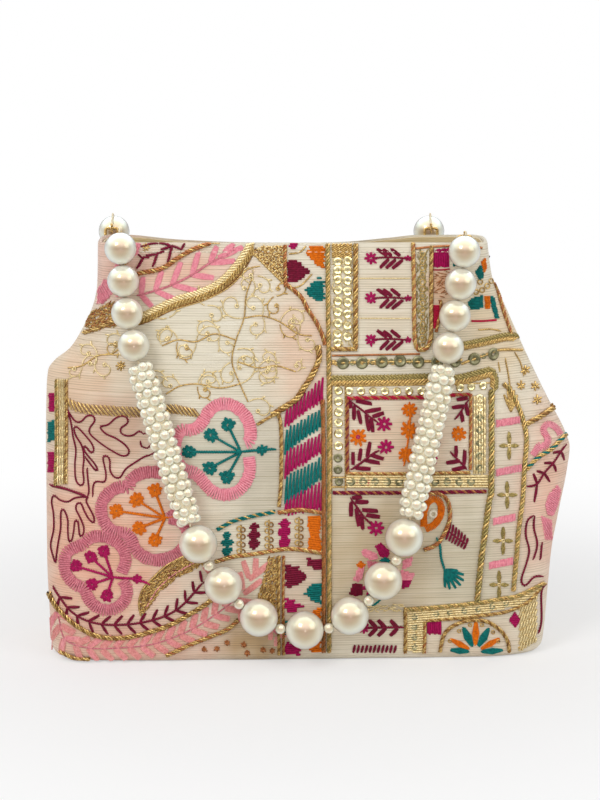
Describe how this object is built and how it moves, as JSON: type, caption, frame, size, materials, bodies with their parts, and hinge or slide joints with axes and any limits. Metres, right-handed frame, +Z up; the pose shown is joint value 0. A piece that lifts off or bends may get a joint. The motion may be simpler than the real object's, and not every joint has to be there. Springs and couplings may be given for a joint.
{
  "type": "potli bag",
  "caption": "Embroidered cloth pouch bag with a boxed base, an open mouth and two swinging handles of strung pearls.",
  "frame": {"origin": "Middle of the underside of the bag with its handles, on the surface it stands on.", "axes": "+X to the bag's right as seen from the front, the front facing -Y, +Z up."},
  "size_m": [0.2685, 0.1166, 0.2199],
  "materials": {
    "embroidered_cloth": "cream slub cloth with gold weft lines and coloured embroidery",
    "lining_satin": "plain gold-beige satin",
    "board": "plain greyboard",
    "snap_metal": "plated, polished",
    "gold_thread": "twisted metallic thread",
    "string": "gold-coloured beading cord",
    "large_pearl": "pearlescent lacquer on a moulded bead",
    "small_pearl": "pearlescent lacquer on moulded beads"
  },
  "bodies": {
    "bag": {"outer_shell": "embroidered_cloth", "lining": "lining_satin", "base_board": "board", "snap_socket": "snap_metal", "snap_stud": "snap_metal", "front_left_thread_bar": "gold_thread", "front_right_thread_bar": "gold_thread", "back_left_thread_bar": "gold_thread", "back_right_thread_bar": "gold_thread"},
    "front_handle": {"front_string": "string", "front_left_pearl_1": "large_pearl", "front_left_pearl_2": "large_pearl", "front_left_pearl_3": "large_pearl", "front_left_pearl_4": "large_pearl", "front_left_pearl_rope": "small_pearl", "front_right_pearl_1": "large_pearl", "front_right_pearl_2": "large_pearl", "front_right_pearl_3": "large_pearl", "front_right_pearl_4": "large_pearl", "front_right_pearl_rope": "small_pearl", "front_bottom_pearl_1": "large_pearl", "front_bottom_pearl_2": "large_pearl", "front_bottom_pearl_3": "large_pearl", "front_bottom_pearl_4": "large_pearl", "front_bottom_pearl_5": "large_pearl", "front_bottom_pearl_6": "large_pearl", "front_bottom_pearl_7": "large_pearl", "front_spacer_1": "small_pearl", "front_spacer_2": "small_pearl", "front_spacer_3": "small_pearl", "front_spacer_4": "small_pearl", "front_spacer_5": "small_pearl", "front_spacer_6": "small_pearl"},
    "back_handle": {"back_string": "string", "back_left_pearl_1": "large_pearl", "back_left_pearl_2": "large_pearl", "back_left_pearl_3": "large_pearl", "back_left_pearl_4": "large_pearl", "back_left_pearl_rope": "small_pearl", "back_right_pearl_1": "large_pearl", "back_right_pearl_2": "large_pearl", "back_right_pearl_3": "large_pearl", "back_right_pearl_4": "large_pearl", "back_right_pearl_rope": "small_pearl", "back_bottom_pearl_1": "large_pearl", "back_bottom_pearl_2": "large_pearl", "back_bottom_pearl_3": "large_pearl", "back_bottom_pearl_4": "large_pearl", "back_bottom_pearl_5": "large_pearl", "back_bottom_pearl_6": "large_pearl", "back_bottom_pearl_7": "large_pearl", "back_spacer_1": "small_pearl", "back_spacer_2": "small_pearl", "back_spacer_3": "small_pearl", "back_spacer_4": "small_pearl", "back_spacer_5": "small_pearl", "back_spacer_6": "small_pearl"}
  },
  "joints": [
    {"name": "front_handle_swing", "type": "hinge", "parent": "bag", "child": "front_handle", "pos_m": [0, -0.01098, 0.2132], "axis": [-1, 0, 0], "range_deg": [0, 145]},
    {"name": "back_handle_swing", "type": "hinge", "parent": "bag", "child": "back_handle", "pos_m": [0, 0.01699, 0.2132], "axis": [1, 0, 0], "range_deg": [0, 145]}
  ]
}
